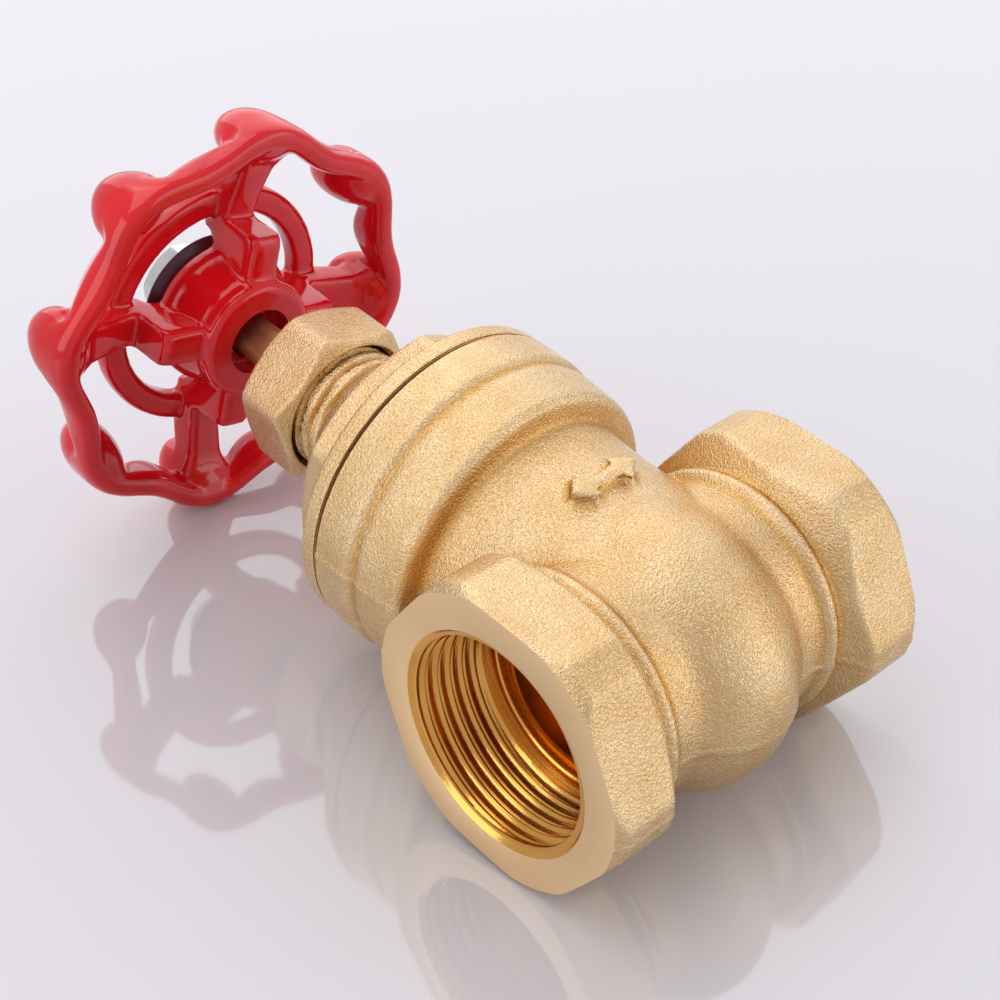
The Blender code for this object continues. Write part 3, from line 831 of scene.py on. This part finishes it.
def bar_section(name, stations, turn):
    """Spoke: rounded-rectangle sections of given half width, underside and top, placed at distances from
    the stem and turned round it. Round each section the corners follow a superellipse."""
    reach, half_width, under, top = np.array(stations).T[..., None]
    around_bar = np.linspace(0.0, 2.0 * np.pi, 48, endpoint=False)[None]
    side = np.sign(np.cos(around_bar)) * np.abs(np.cos(around_bar)) ** 0.35
    rise = np.sign(np.sin(around_bar)) * np.abs(np.sin(around_bar)) ** 0.35
    v = half_width * side
    z = 0.5 * (under + top) + 0.5 * (top - under) * rise + 0.0 * reach
    x = reach * math.cos(turn) - v * math.sin(turn)
    y = reach * math.sin(turn) + v * math.cos(turn)
    return skin(name, np.stack([x, y, z], axis=-1))


wheel_parts = []
rim_angle = np.linspace(0.0, 2.0 * np.pi, 480, endpoint=False)[:, None]
rim_section = np.linspace(0.0, 2.0 * np.pi, 72, endpoint=False)[None]
wheel_parts.append(skin("rim", wheel_rim(rim_angle, rim_section), True))
hub_profile = [
    (0.0, 70.3),
    (7.6, 70.3),
    (8.35, 71.2),
    (8.0, 73.2),
    (8.7, 75.2),
    (9.8, 78.0),
    (9.9, 79.7),
    (8.9, 81.1),
    (0.0, 81.1),
]
wheel_parts.append(turned("hub", hub_profile, 0.7, 5, 96, "z", False))
ring_profile = [(13.7, 80.2), (17.3, 80.2), (17.3, 83.3), (13.7, 83.3)]
wheel_parts.append(turned("ring", ring_profile, 0.8, 5, 144))
for quarter in range(4):
    turn = WHEEL_TURN + quarter * math.pi / 2
    rib = [(5.0, 2.55, 71.8, 80.2), (8.8, 2.55, 71.8, 80.2)]
    rib += [(13.1, 2.5, 71.8, 83.0), (14.1, 2.45, 72.3, 83.0)]
    arm = [(11.5, 2.5, 78.4, 82.9), (14.2, 2.5, 78.2, 83.0)]
    arm += [(17.2, 2.5, 77.6, 82.8), (21.5, 2.8, 76.4, 80.9)]
    arm += [(23.6, 3.9, 75.4, 80.2), (25.6, 5.6, 74.6, 79.2)]
    wheel_parts.append(bar_section("rib", rib, turn))
    wheel_parts.append(bar_section("arm", arm, turn))
for eighth in range(8):
    wheel_parts.append(wheel_knob("knob", WHEEL_TURN + eighth * math.pi / 4))
handwheel = cast("handwheel_casting", wheel_parts, 0.32, 14)
entry = turned(
    "entry", [(0.0, 69.0), (4.7, 69.0), (4.7, 73.2), (0.0, 73.2)], 0.1, 3, 64, "z", False
)
square_ring = 3.0 / np.cos(np.mod(stem_angle - WHEEL_TURN, math.pi / 2) - math.pi / 4)
square_ring = np.minimum(square_ring, 4.0)
square_level = np.array([72.0, 83.0])[:, None]
square_hole = skin(
    "square_hole",
    np.stack(
        [
            square_ring * np.cos(stem_angle) + 0.0 * square_level,
            square_ring * np.sin(stem_angle) + 0.0 * square_level,
            square_level + 0.0 * square_ring,
        ],
        axis=-1,
    ),
)
handwheel = cut(handwheel, [entry, square_hole])
handwheel.data.set_sharp_from_angle(angle=math.radians(55))


def red_enamel(name):
    """Thick glossy enamel: slow sags, a little orange peel, dark specks, and thin spots at the edges."""
    finish = Finish(name)
    sag = finish.noise(0.12, 2.0)
    peel = finish.noise(0.7, 2.0)
    dust = finish.noise(2.6, 1.0)
    edge = finish.node("ShaderNodeNewGeometry", output="Pointiness")
    base = finish.blend(sag.over(0.5, 0.4), (0.62, 0.004, 0.009, 1.0), (0.74, 0.006, 0.012, 1.0))
    base = finish.blend((edge - 0.5).over(0.06, 0.06) * 0.5, base, (0.30, 0.01, 0.01, 1.0))
    base = finish.blend((dust - 0.5).over(0.26, 0.03) * 0.8, base, (0.06, 0.01, 0.01, 1.0))
    return finish.shade(
        Base_Color=base,
        Metallic=0.0,
        Roughness=peel * 0.05 + sag * 0.04 + 0.07,
        IOR=1.44,
        Coat_Weight=0.25,
        Coat_Roughness=0.04,
        Normal=finish.bump(sag * 0.8 + peel * 0.14, 0.35, 0.35),
    )


handwheel.data.materials.clear()
handwheel.data.materials.append(red_enamel("red_enamel_wheel"))
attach(handwheel, "stem_and_wheel")
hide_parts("handwheel")


# Name plate: a thin blank steel disc, pressed to a shallow dish, dipped in dark enamel. It lies on the
# hub and is held by the nut.
plate = turned(
    "name_plate_disc",
    [
        (3.2, 81.35),
        (8.4, 81.35),
        (9.6, 82.3),
        (9.7, 82.5),
        (9.45, 82.75),
        (8.25, 81.95),
        (3.2, 81.95),
    ],
    0.15,
    4,
    160,
)


def plate_finish(name):
    """Dark purple-brown enamel on steel, worn to the metal in fine scratches."""
    finish = Finish(name)
    cloud = finish.noise(0.3, 3.0)
    scratch = finish.noise(1.2, 5.0, 0.75, 3.0)
    base = finish.blend(cloud, (0.055, 0.020, 0.028, 1.0), (0.10, 0.035, 0.045, 1.0))
    worn = (scratch - 0.5).over(0.17, 0.05) * 0.5
    base = finish.blend(worn, base, (0.30, 0.26, 0.25, 1.0))
    return finish.shade(
        Base_Color=base,
        Metallic=worn * 0.8 + 0.25,
        Roughness=cloud * 0.15 + 0.24,
        Normal=finish.bump(scratch, 0.03, 0.4),
    )


plate.data.materials.append(plate_finish("plate_steel_disc"))
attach(plate, "stem_and_wheel")
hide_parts("name_plate")


# Handwheel nut: a flanged hexagon nut of steel, cold-formed and bright zinc plated, on the end of the stem.
wheel_nut_path = divided(
    rounded(
        [
            (2.85, 82.5),
            (7.2, 82.5),
            (7.5, 82.9),
            (7.45, 83.5),
            (6.7, 84.6),
            (6.55, 85.1),
            (6.6, 87.5),
            (5.6, 88.3),
            (3.2, 88.3),
            (2.85, 87.9),
        ],
        0.2,
        4,
    ),
    0.3,
)
wheel_nut_rings = ring_rows(
    wheel_nut_path, 120, 5.75, (wheel_nut_path[:, 1] > 84.9) & (wheel_nut_path[:, 0] > 4.0), 0.3
)
wheel_nut = skin("wheel_nut_flanged", wheel_nut_rings, True)
wheel_nut.data.set_sharp_from_angle(angle=math.radians(50))


def zinc_finish(name):
    """Bright zinc plate: a fine spangle, a faint warm and blue drift of colour, and light scuffs."""
    finish = Finish(name)
    cloud = finish.noise(0.5, 2.0)
    spangle = finish.noise(3.0, 4.0, 0.7)
    base = finish.blend(cloud.over(0.5, 0.5), (0.66, 0.69, 0.72, 1.0), (0.80, 0.78, 0.70, 1.0))
    base = finish.blend((spangle - 0.5).over(0.14, 0.08) * 0.4, base, (0.42, 0.43, 0.45, 1.0))
    return finish.shade(
        Base_Color=base,
        Metallic=1.0,
        Roughness=spangle * 0.12 + cloud * 0.06 + 0.14,
        Normal=finish.bump(spangle, 0.03, 0.5),
    )


wheel_nut.data.materials.append(zinc_finish("zinc_steel_nut"))
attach(wheel_nut, "stem_and_wheel")
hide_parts("handwheel_nut")


# Table, light and camera: a pale glossy sheet under large soft boxes, looked down on at 35 degrees.
def table_top(size):
    """Flat square of the given half side, in metres, at height 0."""
    corners = np.array([(-1, -1, 0), (1, -1, 0), (1, 1, 0), (-1, 1, 0)]) * size
    mesh = bpy.data.meshes.new("table_top")
    mesh.from_pydata(corners.tolist(), [], [[0, 1, 2, 3]])
    made = bpy.data.objects.new("table_top", mesh)
    bpy.context.scene.collection.objects.link(made)
    return made


table = table_top(3.0)
gloss = Finish("table_gloss")
drift = gloss.noise(0.004, 2.0)
table.data.materials.append(
    gloss.shade(
        Base_Color=gloss.blend(drift, (0.620, 0.606, 0.628, 1.0), (0.640, 0.626, 0.645, 1.0)),
        Roughness=drift * 0.02 + 0.045,
        IOR=1.95,
    )
)


def soft_box(name, place, size, power, colour):
    """Square area lamp at a place in metres, turned so that it faces the middle of the valve."""
    lamp = bpy.data.lights.new(name, "AREA")
    lamp.shape = "RECTANGLE"
    lamp.size, lamp.size_y = size
    lamp.energy = power
    lamp.color = colour
    made = bpy.data.objects.new(name, lamp)
    made.location = place
    aim = np.array((0.0, 0.0, 0.03)) - np.array(place)
    flat = math.hypot(aim[0], aim[1])
    made.rotation_euler = (math.atan2(flat, -aim[2]), 0.0, math.atan2(-aim[0], aim[1]))
    bpy.context.scene.collection.objects.link(made)
    return made


soft_box("back_wall", (0.79, 0.85, 0.80), (2.2, 1.5), 9.5, (0.98, 0.98, 1.0))
soft_box("overhead_box", (-0.10, 0.15, 0.60), (0.55, 0.40), 1.0, (1.0, 0.98, 0.96))
soft_box("left_box", (-0.55, 0.10, 0.26), (0.45, 0.40), 0.9, (1.0, 0.98, 0.97))
soft_box("right_box", (0.42, -0.60, 0.24), (0.70, 0.45), 1.4, (1.0, 0.98, 0.96))
sky = bpy.data.worlds.new("studio")
sky.use_nodes = True
sky.node_tree.nodes["Background"].inputs["Color"].default_value = (0.86, 0.85, 0.92, 1.0)
sky.node_tree.nodes["Background"].inputs["Strength"].default_value = 0.70
bpy.context.scene.world = sky
camera_lens = bpy.data.cameras.new("camera")
camera_lens.lens = 65.384
camera_lens.sensor_width = 36.0
camera_lens.clip_start = 0.01
camera = bpy.data.objects.new("camera", camera_lens)
camera.location = (-0.11938, -0.13755, 0.14457)
camera.rotation_euler = tuple(math.radians(angle) for angle in (55.435, 0.452, -43.603))
bpy.context.scene.collection.objects.link(camera)
bpy.context.scene.camera = camera
bpy.context.scene.view_settings.view_transform = "Standard"
